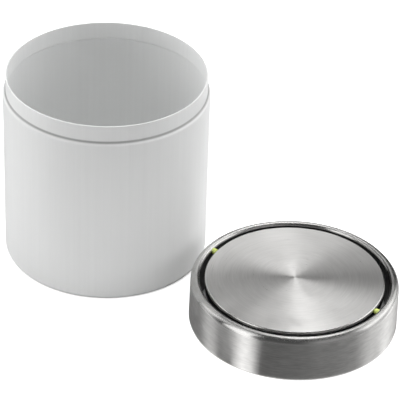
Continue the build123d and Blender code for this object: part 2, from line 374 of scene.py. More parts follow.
def circle_tree():
    """Sets copies of a piece on a circle, each turned about its own upright axis."""
    tree, given, result = new_tree("Copies on a circle", [
        ("Copy", "NodeSocketGeometry"),
        ("Count", "NodeSocketInt"),
        ("Circle radius", "NodeSocketFloat"),
        ("First angle", "NodeSocketFloat"),
        ("Centre", "NodeSocketVector"),
        ("Seed", "NodeSocketInt"),
        ("Finish", "NodeSocketMaterial"),
    ])
    circle = add_node(tree, "GeometryNodeMeshCircle", {
        "Vertices": given.outputs["Count"],
        "Radius": given.outputs["Circle radius"],
    })
    angle = add_node(tree, "ShaderNodeCombineXYZ", {2: given.outputs["First angle"]})
    placed = add_node(tree, "GeometryNodeTransform", {
        "Geometry": circle.outputs["Mesh"],
        "Translation": given.outputs["Centre"],
        "Rotation": angle.outputs[0],
    })
    own_turn = add_node(tree, "FunctionNodeRandomValue", {
        "Min": (0.0, 0.0, 0.0),
        "Max": (0.0, 0.0, pi / 2),
        "Seed": given.outputs["Seed"],
    }, data_type="FLOAT_VECTOR")
    copies = add_node(tree, "GeometryNodeInstanceOnPoints", {
        "Points": placed.outputs[0],
        "Instance": given.outputs["Copy"],
        "Rotation": own_turn.outputs[0],
    })
    return close_tree(tree, copies.outputs[0], given, result)


def grown(name, start_mesh, tree, values):
    """Runs a tree on a mesh and returns a plain object that holds the result."""
    source = new_object(name + "_source", start_mesh)
    modifier = source.modifiers.new(tree.name, "NODES")
    modifier.node_group = tree
    for socket in tree.interface.items_tree:
        if socket.in_out == "INPUT" and socket.name in values:
            modifier[socket.identifier] = values[socket.name]
    piece = plain_copy(name, source)
    bpy.data.objects.remove(source)
    return piece


def plain_copy(name, source):
    """A new object whose mesh is the source's mesh with its modifiers applied."""
    ready = source.evaluated_get(bpy.context.evaluated_depsgraph_get())
    mesh = bpy.data.meshes.new_from_object(ready)
    mesh.name = name
    return new_object(name, mesh)


def face_outwards(mesh):
    """Turns all faces of a closed mesh outwards, and marks its real corners as sharp."""
    shape = bmesh.new()
    shape.from_mesh(mesh)
    bmesh.ops.recalc_face_normals(shape, faces=shape.faces)
    shape.to_mesh(mesh)
    shape.free()
    mesh.set_sharp_from_angle(angle=sharp_corner)


def outline_runs(outline):
    """Length along an outline up to each of its points."""
    runs = [0.0]
    for (r0, z0, bend0), (r1, z1, bend1) in zip(outline, outline[1:]):
        runs.append(runs[-1] + hypot(r1 - r0, z1 - z0))
    return runs


def turned_piece(name, outline, centre, finish):
    """A piece turned from its outline, a list of (radius, height, bend)."""
    section = bpy.data.meshes.new(name + "_section")
    points = [(max(0.0, r), 0.0, z) for r, z, bend in outline]
    section.from_pydata(points, [(i, i + 1) for i in range(len(points) - 1)], [])
    runs = outline_runs(outline)
    kept = {
        "run": runs,
        "share": [run / runs[-1] for run in runs],
        "bend": [bend for r, z, bend in outline],
    }
    for attribute, values in kept.items():
        section.attributes.new(attribute, "FLOAT", "POINT").data.foreach_set("value", values)
    piece = grown(name, section, TURNING, {
        "Steps round": steps_round,
        "Centre": centre,
        "Join distance": join_distance,
        "Finish": finish,
    })
    face_outwards(piece.data)
    return piece


def cut_with(name, piece, cutters):
    """The piece with the cutters taken away, as a new object of that name."""
    for cutter in cutters:
        modifier = piece.modifiers.new("Notch", "BOOLEAN")
        modifier.operation = "DIFFERENCE"
        modifier.solver = "EXACT"
        modifier.object = cutter
    done = plain_copy(name, piece)
    for used in [piece, *cutters]:
        bpy.data.objects.remove(used)
    done.data.set_sharp_from_angle(angle=sharp_corner)
    return done


def notch_cutter(radius, start, end, side, floor_height):
    """A rod along the line of the pins between two distances from the lid's axis, open down
    to a floor height."""
    shape = bmesh.new()
    length = end - start
    upright = Matrix.Rotation(pi / 2, 4, "Y")
    middle = Matrix.Translation(((start + end) / 2, 0.0, pin_height))
    bmesh.ops.create_cone(
        shape, cap_ends=True, segments=cutter_sides, radius1=radius, radius2=radius, depth=length,
        matrix=middle @ upright)
    drop = pin_height - floor_height
    block = Matrix.Translation(((start + end) / 2, 0.0, floor_height + drop / 2))
    block = block @ Matrix.Diagonal((length, 2 * radius, drop, 1.0))
    bmesh.ops.create_cube(shape, size=1.0, matrix=block)
    turn = pins_turn + (0.0 if side > 0 else pi)
    placed = Matrix.Translation(lid_centre) @ Matrix.Rotation(turn, 4, "Z")
    bmesh.ops.transform(shape, matrix=placed, verts=shape.verts)
    return new_object("notch_cutter", drawn_mesh("notch_cutter", shape))


# Shader groups
SURFACE_OUTPUTS = [
    ("Colour", "NodeSocketColor"),
    ("Roughness", "NodeSocketFloat"),
    ("Height", "NodeSocketFloat"),
]


def new_group(name, inputs, outputs):
    """A shader group with named inputs and outputs."""
    group = bpy.data.node_groups.new(name, "ShaderNodeTree")
    for socket_name, kind, value in inputs:
        socket = group.interface.new_socket(socket_name, in_out="INPUT", socket_type=kind)
        if value is not None:
            socket.default_value = value
    for socket_name, kind in outputs:
        group.interface.new_socket(socket_name, in_out="OUTPUT", socket_type=kind)
    return group, group.nodes.new("NodeGroupInput"), group.nodes.new("NodeGroupOutput")


def spread_about(tree, value, middle, amount):
    """middle plus amount times the value's distance from one half."""
    away = math_node(tree, "SUBTRACT", value, 0.5)
    return math_node(tree, "ADD", scaled(tree, away, amount), middle)


def noise(tree, place, scale, detail, roughness=0.55):
    """A noise value between 0 and 1 at a place."""
    links = {"Vector": place, "Scale": scale, "Detail": detail, "Roughness": roughness}
    return add_node(tree, "ShaderNodeTexNoise", links, noise_dimensions="3D").outputs[0]


def close_surface_group(group, given, result, toned_by, roughened_by, height):
    """Spreads a group's tone and roughness about what is given, and passes its height on."""
    tone = spread_about(group, toned_by, 1.0, given.outputs["Tone spread"])
    toned = vector_node(group, "SCALE", {0: given.outputs["Base"], "Scale": tone})
    rough = spread_about(group, roughened_by, given.outputs["Roughness"], given.outputs["Roughness spread"])
    group.links.new(toned, result.inputs["Colour"])
    group.links.new(rough, result.inputs["Roughness"])
    group.links.new(height, result.inputs["Height"])
    return group


def brush_group():
    """Fine lines left by a brush or a turning tool. Across is the distance across the lines
    and Round the direction from the axis, so that the lines close round the piece."""
    group, given, result = new_group("Brush lines", [
        ("Base", "NodeSocketColor", (0.6, 0.6, 0.6, 1.0)),
        ("Across", "NodeSocketFloat", 0.0),
        ("Round", "NodeSocketVector", (1.0, 0.0, 0.0)),
        ("Line spacing", "NodeSocketFloat", 0.2 * MM),
        ("Changes round", "NodeSocketFloat", 3.0),
        ("Tone spread", "NodeSocketFloat", 0.1),
        ("Roughness", "NodeSocketFloat", 0.35),
        ("Roughness spread", "NodeSocketFloat", 0.1),
    ], SURFACE_OUTPUTS)
    along = vector_node(group, "SCALE", {
        0: given.outputs["Round"],
        "Scale": given.outputs["Changes round"],
    })
    lines = math_node(group, "DIVIDE", given.outputs["Across"], given.outputs["Line spacing"])

    def layer(spacing, detail, share):
        """Noise whose lines are this many line spacings apart, and its share of the whole."""
        across = add_node(group, "ShaderNodeCombineXYZ", {2: math_node(group, "DIVIDE", lines, spacing)})
        place = vector_node(group, "ADD", {0: along, 1: across.outputs[0]})
        value = ranged(group, noise(group, place, 1.0, detail, 0.65), 0.3, 0.7)
        return value, scaled(group, value, share)

    fine, mixed = layer(1.0, 2.0, 0.30)
    for spacing, detail, share in ((4.0, 2.0, 0.45), (20.0, 1.0, 0.25)):
        mixed = math_node(group, "ADD", mixed, layer(spacing, detail, share)[1])
    return close_surface_group(group, given, result, mixed, mixed, fine)


def handling_group():
    """Soft smudges and a trace of dust, as a mask."""
    group, given, result = new_group("Handling marks", [
        ("Place", "NodeSocketVector", None),
        ("Size", "NodeSocketFloat", 12 * MM),
        ("Cover", "NodeSocketFloat", 0.4),
    ], [("Marks", "NodeSocketFloat")])
    scale = math_node(group, "DIVIDE", 1.0, given.outputs["Size"])
    broad = noise(group, given.outputs["Place"], scale, 3.0, 0.6)
    low = math_node(group, "SUBTRACT", 0.75, given.outputs["Cover"])
    group.links.new(ranged(group, broad, low, 0.8, "SMOOTHSTEP"), result.inputs["Marks"])
    return group


def grain_group():
    """Fine grain of a coat or a moulding: its height and a slight change of tone."""
    group, given, result = new_group("Surface grain", [
        ("Place", "NodeSocketVector", None),
        ("Base", "NodeSocketColor", (0.5, 0.5, 0.5, 1.0)),
        ("Grain size", "NodeSocketFloat", 0.3 * MM),
        ("Tone spread", "NodeSocketFloat", 0.1),
        ("Roughness", "NodeSocketFloat", 0.5),
        ("Roughness spread", "NodeSocketFloat", 0.1),
    ], SURFACE_OUTPUTS)
    scale = math_node(group, "DIVIDE", 1.0, given.outputs["Grain size"])
    fine = noise(group, given.outputs["Place"], scale, 2.0)
    coarse_scale = scaled(group, scale, 0.04)
    coarse = noise(group, given.outputs["Place"], coarse_scale, 3.0)
    mixed = scaled(group, math_node(group, "ADD", fine, coarse), 0.5)
    return close_surface_group(group, given, result, mixed, coarse, fine)


def wear_group():
    """Where bends and cut edges are rubbed, broken up by noise."""
    group, given, result = new_group("Rubbed edges", [
        ("Place", "NodeSocketVector", None),
        ("Bend", "NodeSocketFloat", 0.0),
        ("Patch size", "NodeSocketFloat", 6 * MM),
        ("Amount", "NodeSocketFloat", 0.5),
    ], [("Wear", "NodeSocketFloat")])
    scale = math_node(group, "DIVIDE", 1.0, given.outputs["Patch size"])
    patches = noise(group, given.outputs["Place"], scale, 4.0, 0.65)
    rubbed = ranged(group, patches, 0.35, 0.7, "SMOOTHSTEP")
    wear = scaled(group, rubbed, given.outputs["Bend"])
    wear = math_node(group, "MULTIPLY", wear, given.outputs["Amount"], clamp=True)
    group.links.new(wear, result.inputs["Wear"])
    return group


TURNING = turning_tree()
CIRCLE = circle_tree()
BRUSH = brush_group()
HANDLING = handling_group()
GRAIN = grain_group()
WEAR = wear_group()


# Materials


def new_material(name, **shader_values):
    """A material, its tree and its shader. Values that are the same all over are set here."""
    material = bpy.data.materials.new(name)
    material.use_nodes = True
    tree = material.node_tree
    shader = tree.nodes["Principled BSDF"]
    for socket, value in shader_values.items():
        shader.inputs[socket.replace("_", " ")].default_value = value
    return material, tree, shader


def use_group(tree, group, links):
    """Places a shader group in a material."""
    return add_node(tree, "ShaderNodeGroup", links, node_tree=group)


def object_place(tree, centre=part_origin):
    """Object coordinates, measured from a centre."""
    place = add_node(tree, "ShaderNodeTexCoord").outputs["Object"]
    back = tuple(-value for value in centre)
    return add_node(tree, "ShaderNodeMapping", {"Vector": place, "Location": back}).outputs[0]


def map_share(tree, axis):
    """How far round the piece, X, or along its section, Y, on the piece's own map."""
    return part_of(tree, add_node(tree, "ShaderNodeUVMap", uv_map="UVMap").outputs[0], axis)


def map_direction(tree):
    """Direction from the axis, from the piece's own map, which runs once round it."""
    angle = scaled(tree, map_share(tree, "X"), 2 * pi)
    return add_node(tree, "ShaderNodeCombineXYZ", {
        0: math_node(tree, "COSINE", angle),
        1: math_node(tree, "SINE", angle),
    }).outputs[0]


def kept_value(tree, name):
    """A value that was kept on the mesh."""
    node = add_node(tree, "ShaderNodeAttribute", attribute_name=name, attribute_type="GEOMETRY")
    return node.outputs["Fac"]


def feed_shader(tree, shader, colour, rough, height, depth):
    """Feeds the shader a colour, a roughness and the height of a fine relief."""
    relief = add_node(tree, "ShaderNodeBump", {"Height": height, "Distance": depth, "Strength": 1.0})
    tree.links.new(colour, shader.inputs["Base Color"])
    tree.links.new(rough, shader.inputs["Roughness"])
    tree.links.new(relief.outputs[0], shader.inputs["Normal"])


def mixed_colour(tree, share, first, second):
    """A colour between two, by a share."""
    return add_node(tree, "ShaderNodeMix", {0: share, 6: first, 7: second}, data_type="RGBA").outputs[2]


def mixed_value(tree, share, first, second):
    """A value between two, by a share."""
    return add_node(tree, "ShaderNodeMix", {0: share, 2: first, 3: second}, data_type="FLOAT").outputs[0]


def turned_steel(name, base, roughness, spacing, changes_round, tone_spread, worn_tone, inner=None):
    """Bare steel brushed round its axis, for pieces turned by the section tree. Inner is the
    radius and the height of a turned-in flange, which is painted near-black as shade and left unbrushed
    below there."""
    smudge_share = 0.06
    smudge_tone = (0.32, 0.31, 0.30, 1.0)
    smudge_roughness = 0.05
    plain_bend_share = 0.7
    bend_polish = 0.09
    # Painted shade in the gap round the flap: the flange's inner face goes near-black
    gap_shade_tone = (0.05, 0.05, 0.05, 1.0)
    inner_roughness = 0.6
    material, tree, shader = new_material(
        name, Metallic=1.0, Anisotropic=1.0, Anisotropic_Rotation=0.25)
    place = object_place(tree)
    lines = use_group(tree, BRUSH, {
        "Base": base,
        "Across": kept_value(tree, "run"),
        "Round": map_direction(tree),
        "Line spacing": spacing,
        "Changes round": changes_round,
        "Tone spread": tone_spread,
        "Roughness": roughness,
        "Roughness spread": 0.08,
    })
    marks = use_group(tree, HANDLING, {"Place": place, "Size": 22 * MM, "Cover": 0.38})
    bend = kept_value(tree, "bend")
    wear = use_group(tree, WEAR, {"Place": place, "Bend": bend, "Amount": 0.4})
    smudges = scaled(tree, marks.outputs["Marks"], smudge_share)
    darker = mixed_colour(tree, smudges, lines.outputs["Colour"], smudge_tone)
    darker = mixed_colour(tree, scaled(tree, bend, plain_bend_share), darker, base)
    colour = mixed_colour(tree, wear.outputs["Wear"], darker, worn_tone)
    duller = scaled(tree, marks.outputs["Marks"], smudge_roughness)
    smudged = math_node(tree, "ADD", lines.outputs["Roughness"], duller)
    rough = mixed_value(tree, bend, smudged, roughness - bend_polish)
    if inner is not None:
        # Painted shade: the flange's inner face within the radius and below the height is made near-black
        gap_shade = gap_shade_mask(tree, object_place(tree, lid_centre), *inner)
        colour = mixed_colour(tree, gap_shade, colour, gap_shade_tone)
        rough = mixed_value(tree, gap_shade, rough, inner_roughness)
    tangent = add_node(tree, "ShaderNodeTangent", direction_type="UV_MAP", uv_map="UVMap")
    tree.links.new(tangent.outputs[0], shader.inputs["Tangent"])
    feed_shader(tree, shader, colour, rough, lines.outputs["Height"], 0.004 * MM)
    return material


def gap_shade_mask(tree, place, radius, height):
    """1 within a radius of the axis and below a height, with soft limits, and 0 elsewhere."""
    soft = 0.2 * MM
    flat = vector_node(tree, "MULTIPLY", {0: place, 1: (1.0, 1.0, 0.0)})
    from_axis = vector_node(tree, "LENGTH", {0: flat}, "Value")
    within = ranged(tree, from_axis, radius + soft, radius - soft)
    below = ranged(tree, part_of(tree, place, "Z"), height + soft, height - soft)
    return scaled(tree, within, below)


def white_coat(shade_line_share, shade_line_width):
    """Satin white coat on the drawn steel, with the faint upright streaks of its drawing. A line
    of painted shade runs round the shoulder, placed on the piece's map."""
    run_share = 0.02
    smudge_roughness = 0.08
    rubbed_tone = (0.88, 0.88, 0.875, 1.0)
    # Painted shade: the grey that the line round the shoulder goes towards, and how far towards it
    shade_line_tone = (0.30, 0.30, 0.30, 1.0)
    shade_line_depth = 0.85
    material, tree, shader = new_material("white_satin_coat")
    place = object_place(tree)
    grain = use_group(tree, GRAIN, {
        "Place": place,
        "Base": (0.843, 0.849, 0.846, 1.0),
        "Grain size": 0.45 * MM,
        "Tone spread": 0.02,
        "Roughness": 0.42,
        "Roughness spread": 0.10,
    })
    streaks = use_group(tree, BRUSH, {
        "Base": grain.outputs["Colour"],
        "Across": scaled(tree, kept_value(tree, "run"), run_share),
        "Round": map_direction(tree),
        "Line spacing": 1.0 * MM,
        "Changes round": 26.0,
        "Tone spread": 0.04,
    })
    marks = use_group(tree, HANDLING, {"Place": place, "Size": 30 * MM, "Cover": 0.35})
    wear = use_group(tree, WEAR, {"Place": place, "Bend": kept_value(tree, "bend"), "Amount": 0.35})
    colour = mixed_colour(tree, wear.outputs["Wear"], streaks.outputs["Colour"], rubbed_tone)
    # Painted shade: a dark line round the shoulder, darkest at its middle on the piece's map
    away = math_node(tree, "ABSOLUTE", math_node(tree, "SUBTRACT", map_share(tree, "Y"), shade_line_share))
    shade_line = ranged(tree, away, shade_line_width, 0.0, "SMOOTHSTEP")
    colour = mixed_colour(tree, scaled(tree, shade_line, shade_line_depth), colour, shade_line_tone)
    duller = scaled(tree, marks.outputs["Marks"], smudge_roughness)
    rough = math_node(tree, "ADD", grain.outputs["Roughness"], duller)
    feed_shader(tree, shader, colour, rough, grain.outputs["Height"], 0.006 * MM)
    return material


def moulded(name, base, roughness, grain_size, grain_depth, centre=part_origin):
    """A moulded plastic or rubber with its fine grain and a trace of dust."""
    dust_share = 0.35
    material, tree, shader = new_material(name)
    place = object_place(tree, centre)
    grain = use_group(tree, GRAIN, {
        "Place": place,
        "Base": base,
        "Grain size": grain_size,
        "Tone spread": 0.25,
        "Roughness": roughness,
        "Roughness spread": 0.15,
    })
    marks = use_group(tree, HANDLING, {"Place": place, "Size": 9 * MM, "Cover": 0.45})
    dusty = tuple(0.85 * value + 0.04 for value in base[:3]) + (1.0,)
    dust = scaled(tree, marks.outputs["Marks"], dust_share)
    colour = mixed_colour(tree, dust, grain.outputs["Colour"], dusty)
    feed_shader(tree, shader, colour, grain.outputs["Roughness"], grain.outputs["Height"], grain_depth)
    return material


def plated_steel(name, base, roughness, spacing, centre):
    """Zinc-plated steel on CAD pieces, turned round an upright axis through a centre."""
    cloud_share = 0.3
    cloud_tone = (0.50, 0.52, 0.50, 1.0)
    material, tree, shader = new_material(
        name, Metallic=1.0, Anisotropic=0.4, Anisotropic_Rotation=0.25)
    place = object_place(tree, centre)
    flat = vector_node(tree, "MULTIPLY", {0: place, 1: (1.0, 1.0, 0.0)})
    from_axis = vector_node(tree, "LENGTH", {0: flat}, "Value")
    lines = use_group(tree, BRUSH, {
        "Base": base,
        "Across": math_node(tree, "ADD", from_axis, part_of(tree, place, "Z")),
        "Round": vector_node(tree, "NORMALIZE", {0: flat}),
        "Line spacing": spacing,
        "Tone spread": 0.25,
        "Roughness": roughness,
        "Roughness spread": 0.2,
    })
    clouds = use_group(tree, HANDLING, {"Place": place, "Size": 5 * MM, "Cover": 0.5})
    cloudy = scaled(tree, clouds.outputs["Marks"], cloud_share)
    colour = mixed_colour(tree, cloudy, lines.outputs["Colour"], cloud_tone)
    tangent = add_node(tree, "ShaderNodeTangent", direction_type="RADIAL", axis="Z")
    tree.links.new(tangent.outputs[0], shader.inputs["Tangent"])
    feed_shader(tree, shader, colour, lines.outputs["Roughness"], lines.outputs["Height"], 0.01 * MM)
    return material


# Pieces


def add_piece(piece, body, slot, *replaced):
    """The piece rides on its body and stands for CAD nodes, which are hidden. The slot is not used."""
    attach(piece, body)
    if replaced:
        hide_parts(*replaced)
    return piece


def dress_node(name, material):
    """Gives a CAD node that stays its finish."""
    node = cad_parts[name]
    node.data.materials.clear()
    node.data.materials.append(material)


def make_vessel():
    """The bent sheet of the vessel, with a line of painted shade round its shoulder."""
    half = vessel_wall / 2
    body = vessel_radius - half
    neck = vessel_radius - neck_step - half
    floor_height = standing_height + panel_rise + half
    floor_radius = vessel_radius - foot_round - standing_ring_width - panel_slope
    shoulder_top = rim_height - neck_height
    stations = section_path([
        (0.0, floor_height),
        (floor_radius, floor_height),
        (floor_radius + panel_slope, standing_height + half),
        (body, standing_height + half),
        (body, shoulder_top - shoulder_drop),
        (neck, shoulder_top),
        (neck, rim_height),
    ], [panel_round, panel_round, foot_round, shoulder_round, shoulder_round])
    outline = sheet_outline(stations, vessel_wall, 0.0, rim_edge_round)
    runs = outline_runs(outline)
    # Height of the painted shade line round the shoulder, found on the outside of the sheet
    shade_line_height = shoulder_top - shade_line_below_top * shoulder_drop
    outside = range(len(outline) // 2, len(outline))
    shade_line = min(outside, key=lambda index: abs(outline[index][1] - shade_line_height))
    finish = white_coat(runs[shade_line] / runs[-1], shade_line_spread * shoulder_drop / runs[-1])
    piece = turned_piece("vessel_shell", outline, part_origin, finish)
    return add_piece(piece, "bin", "white_coating", "vessel")


def make_base_pad():
    """The pad, with round grooves in its underside."""
    corners = [(0.0, pad_low.z)]
    rounds = []
    for index in range(1, pad_groove_count + 1):
        inner = index * pad_groove_pitch - pad_groove_width / 2
        outer = inner + pad_groove_width
        top = pad_low.z + pad_groove_depth
        corners += [(inner, pad_low.z), (inner, top), (outer, top), (outer, pad_low.z)]
        rounds += 4 * [pad_groove_round]
    corners += [(pad_high.x, pad_low.z), (pad_high.x, pad_high.z), (0.0, pad_high.z)]
    rounds += [pad_edge_round, pad_groove_round]
    rubber = moulded("black_pad_rubber", (0.035, 0.035, 0.036, 1.0), 0.75, 0.25 * MM, 0.02 * MM)
    piece = turned_piece("base_pad_disc", solid_outline(corners, rounds), part_origin, rubber)
    return add_piece(piece, "bin", "pad_rubber", "base_pad")


def make_lid_ring():
    """The band with its rolled rim, notched where the pins' collars stand."""
    half = ring_wall / 2
    top_radius = ring_foot_radius - ring_draft
    flange = top_radius - ring_rim_width + half
    foot_lift = half * ring_draft / ring_height
    stations = section_path([
        (ring_foot_radius - half, foot_lift),
        (top_radius - half, ring_height - half),
        (flange, ring_height - half),
        (flange, ring_height - ring_flange_depth),
    ], [ring_outer_round, ring_inner_round])
    outline = sheet_outline(stations, ring_wall, ring_edge_round, 0.0)
    # The flange's face within this radius and below this height is painted near-black as shade
    inner = (flange + flange_shade_width, ring_height - flange_shade_drop)
    steel = turned_steel("brushed_band_steel", (0.56, 0.555, 0.545, 1.0), 0.33, 0.22 * MM, 8.0, 0.50,
                         (0.60, 0.595, 0.585, 1.0), inner)
    blank = turned_piece("ring_blank", outline, lid_centre, steel)
    reach = (flange - 2 * ring_wall, flange + 2 * ring_wall)
    below = ring_height - ring_flange_depth - ring_wall
    cutters = [notch_cutter(collar_notch_radius, *reach, side, below) for side in (1, -1)]
    piece = cut_with("lid_ring_band", blank, cutters)
    return add_piece(piece, "lid", "band_steel", "lid_ring")


def make_flap_cap():
    """The crowned cap, notched where the pins pass its rolled edge."""
    half = flap_wall / 2
    edge_height = flap_top - flap_crown
    stations = section_path([
        (0.0, edge_height - half),
        (flap_radius - half, edge_height - half),
        (flap_radius - half, flap_bottom),
    ], [flap_edge_round - half])
    flat = sheet_outline(stations, flap_wall, 0.0, 0.0)
    outline = [
        (r, z + flap_crown * (1 - min(1.0, r / flap_radius) ** 2), bend) for r, z, bend in flat
    ]
    steel = turned_steel("turned_cap_steel", (0.57, 0.565, 0.555, 1.0), 0.30, 0.13 * MM, 2.5, 0.26,
                         (0.68, 0.675, 0.665, 1.0))
    blank = turned_piece("cap_blank", outline, lid_centre, steel)
    reach = (flap_radius - 2 * flap_wall, flap_radius + flap_wall)
    below = flap_bottom - flap_wall
    cutters = [notch_cutter(journal_notch_radius, *reach, side, below) for side in (1, -1)]
    piece = cut_with("flap_cap", blank, cutters)
    return add_piece(piece, "flap", "cap_steel", "flap_disc")


def screw_outline():
    """Outline of a screw with its head down, the underside of the head at the origin."""
    dome = screw_head_height * 0.5
    root_end, crest_start, crest_end = screw_thread_marks
    corners = [
        (0.0, -screw_head_height),
        (screw_head_radius, -screw_head_height),
        (screw_head_radius, 0.0),
        (screw_radius, 0.0),
    ]
    outline = solid_outline(corners, [dome, 0.15 * MM])
    turns = int(screw_length / screw_thread_pitch) - 1
    height = screw_thread_start
    for index in range(turns):
        outline += [
            (screw_core_radius, height, 0.0),
            (screw_core_radius, height + root_end * screw_thread_pitch, 0.0),
            (screw_radius, height + crest_start * screw_thread_pitch, 1.0),
            (screw_radius, height + crest_end * screw_thread_pitch, 1.0),
        ]
        height += screw_thread_pitch
    return outline + [(screw_core_radius, height, 0.0), (0.0, screw_length, 1.0)]


def make_cover_screws():
    """One screw with a cross drive, set on its circle three times."""
    steel = plated_steel("plated_screw_steel", (0.52, 0.52, 0.53, 1.0), 0.38, 0.3 * MM, lid_centre)
    blank = turned_piece("screw_blank", screw_outline(), part_origin, steel)
    slots = []
    drive = (1.2 * screw_head_radius, screw_drive_width, 2 * screw_drive_depth, 1.0)
    for turn in (0.0, pi / 2):
        shape = bmesh.new()
        block = Matrix.Translation((0.0, 0.0, -screw_head_height)) @ Matrix.Rotation(turn, 4, "Z")
        bmesh.ops.create_cube(shape, size=1.0, matrix=block @ Matrix.Diagonal(drive))
        slots.append(new_object("drive_slot", drawn_mesh("drive_slot", shape)))
    screw = cut_with("screw_copy", blank, slots)
    head_seat = screws_high.z - screw_length
    piece = grown("cover_screw_set", screw.data, CIRCLE, {
        "Count": screw_count,
        "Circle radius": screw_circle_radius,
        "First angle": screw_first_angle + pins_turn,
        "Centre": lid_centre + Vector((0.0, 0.0, head_seat)),
        "Seed": 7,
        "Finish": steel,
    })
    bpy.data.objects.remove(screw)
    return add_piece(piece, "flap", "screw_steel", "cover_screws")


make_vessel()
make_base_pad()
make_lid_ring()
make_flap_cap()
make_cover_screws()

black_tone = (0.022, 0.022, 0.023, 1.0)
lime_tone = (0.74, 0.86, 0.22, 1.0)
black = moulded("black_moulded_plastic", black_tone, 0.48, 0.18 * MM, 0.012 * MM, lid_centre)
lime = moulded("lime_moulded_plastic", lime_tone, 0.22, 0.3 * MM, 0.004 * MM, lid_centre)
zinc = plated_steel("plated_slug_steel", (0.44, 0.445, 0.45, 1.0), 0.42, 0.35 * MM, lid_centre)
for node_name in ("lid_carrier", "flap_frame", "flap_cover"):
    dress_node(node_name, black)
for node_name in ("pivot_pin_left", "pivot_pin_right"):
    dress_node(node_name, lime)
dress_node("counterweight", zinc)


# Camera. The picture is 400 pixels square.
camera_turn = radians(32.05)
camera_rise = radians(34.0)
camera_roll = radians(1.91)
camera_distance = 1380.6 * MM
camera_aim = Vector((69.74, -6.18, 60.0)) * MM
camera_lens = 216.84
camera_sensor = 36.0


def studio_direction(turn, rise):
    """Unit vector from the part to a place in the studio. Turn 0 is the -Y side, 90 the +X side."""
    return Vector((sin(turn) * cos(rise), -cos(turn) * cos(rise), sin(rise)))


def aimed_from(place, back):
    """Matrix of a camera or lamp at a place, which faces away from the direction back."""
    return Matrix.Translation(place) @ (-back).to_track_quat("-Z", "Y").to_matrix().to_4x4()


def make_camera():
    """The camera at the photo's angle."""
    data = bpy.data.cameras.new("studio_camera")
    data.lens = camera_lens
    data.sensor_width = camera_sensor
    data.clip_start = 0.05
    data.clip_end = 60.0
    camera = new_object("studio_camera", data)
    back = studio_direction(camera_turn, camera_rise)
    aimed = aimed_from(camera_aim + back * camera_distance, back)
    camera.matrix_world = aimed @ Matrix.Rotation(camera_roll, 4, "Z")
    bpy.context.scene.camera = camera


# Studio. Turns are measured from the camera's side, positive to its right.
studio_centre = Vector((0.066, 0.0, 0.05))
floor_reach = 14.0
floor_sides = 96
floor_tone = 0.66
floor_lift = 0.82
covered_reach = 0.06
room_low = 0.34
room_overhead = 0.24
card_height = 0.4 * MM
card_step = 2
plain_white = (1.0, 1.0, 1.0, 1.0)


def hang_lamp(name, data, turn, rise, distance, aim):
    """Hangs a lamp that faces its aim. Neither the camera nor polished steel shows it."""
    back = studio_direction(camera_turn + radians(turn), radians(rise))
    lamp = new_object(name, data)
    lamp.matrix_world = aimed_from(aim + back * distance, back)
    lamp.visible_camera = False
    lamp.visible_glossy = False


def make_lamp(name, turn, rise, distance, width, height, brightness):
    """A soft box that faces the part. Brightness is what a mirror would show of it."""
    data = bpy.data.lights.new(name, "AREA")
    data.shape = "RECTANGLE"
    data.size = width
    data.size_y = height
    data.energy = brightness * pi * width * height
    hang_lamp(name, data, turn, rise, distance, studio_centre)


def make_spot(name, turn, rise, distance, aim, reach, energy):
    """A soft spot that fills the shade where the lid stands close to the vessel."""
    data = bpy.data.lights.new(name, "SPOT")
    data.spot_size = 2 * atan2(reach, distance)
    data.spot_blend = 1.0
    data.shadow_soft_size = 0.08
    data.energy = energy
    hang_lamp(name, data, turn, rise, distance, aim)


def soft_span(value, low, high, softness):
    """1 between two limits and 0 outside, with a ramp of this width over each limit."""
    rise = min(1.0, max(0.0, (value - low) / softness + 0.5))
    fall = min(1.0, max(0.0, (high - value) / softness + 0.5))
    return rise * fall


def make_dome_card(name, boxes, ambient, distance):
    """A dome seen only in polished surfaces: it shows them the soft boxes of a studio. Each
    box is (turns, softness, rises, softness, brightness), in degrees."""
    shape = bmesh.new()
    tone = shape.verts.layers.float.new("tone")
    lower = []
    for rise in range(0, 90 + card_step, card_step):
        line = []
        for turn in range(0, 360 + card_step, card_step):
            place = studio_direction(camera_turn + radians(turn), radians(rise)) * distance
            line.append(shape.verts.new(lid_centre + place))
            glow = ambient
            for turns, turn_soft, rises, rise_soft, brightness in boxes:
                share = soft_span(turn, *turns, turn_soft) * soft_span(rise, *rises, rise_soft)
                glow = max(glow, brightness * share)
            line[-1][tone] = glow
        if lower:
            join_lines(shape, lower, line)
        lower = line
    add_card(name, shape)


def make_floor_card(name, stations, near_gap, reach):
    """A card that lies just above the floor and fans out from the foot of the lid, so that
    each strip of the band sees one strip of it. It is seen only in polished surfaces."""
    height = Vector((0.0, 0.0, card_height))
    shape = bmesh.new()
    tone = shape.verts.layers.float.new("tone")
    near_line = []
    far_line = []
    for turn, brightness in stations:
        foot = studio_direction(camera_turn + radians(turn / 2), 0.0) * (ring_foot_radius + near_gap)
        near = lid_centre + height + foot
        far = near + studio_direction(camera_turn + radians(turn), 0.0) * reach
        for line, place in ((near_line, near), (far_line, far)):
            line.append(shape.verts.new(place))
            line[-1][tone] = brightness
    join_lines(shape, near_line, far_line)
    add_card(name, shape)


def join_lines(shape, lower, upper):
    """Faces between two lines of points."""
    for index in range(len(lower) - 1):
        shape.faces.new((lower[index], lower[index + 1], upper[index + 1], upper[index]))


def spaced(stations, step=6.0):
    """More stations between the given ones, so that a card curves smoothly."""
    result = [stations[0]]
    for (turn0, tone0), (turn1, tone1) in zip(stations, stations[1:]):
        count = max(1, round((turn1 - turn0) / step))
        for index in range(1, count + 1):
            share = index / count
            result.append((turn0 + (turn1 - turn0) * share, tone0 + (tone1 - tone0) * share))
    return result


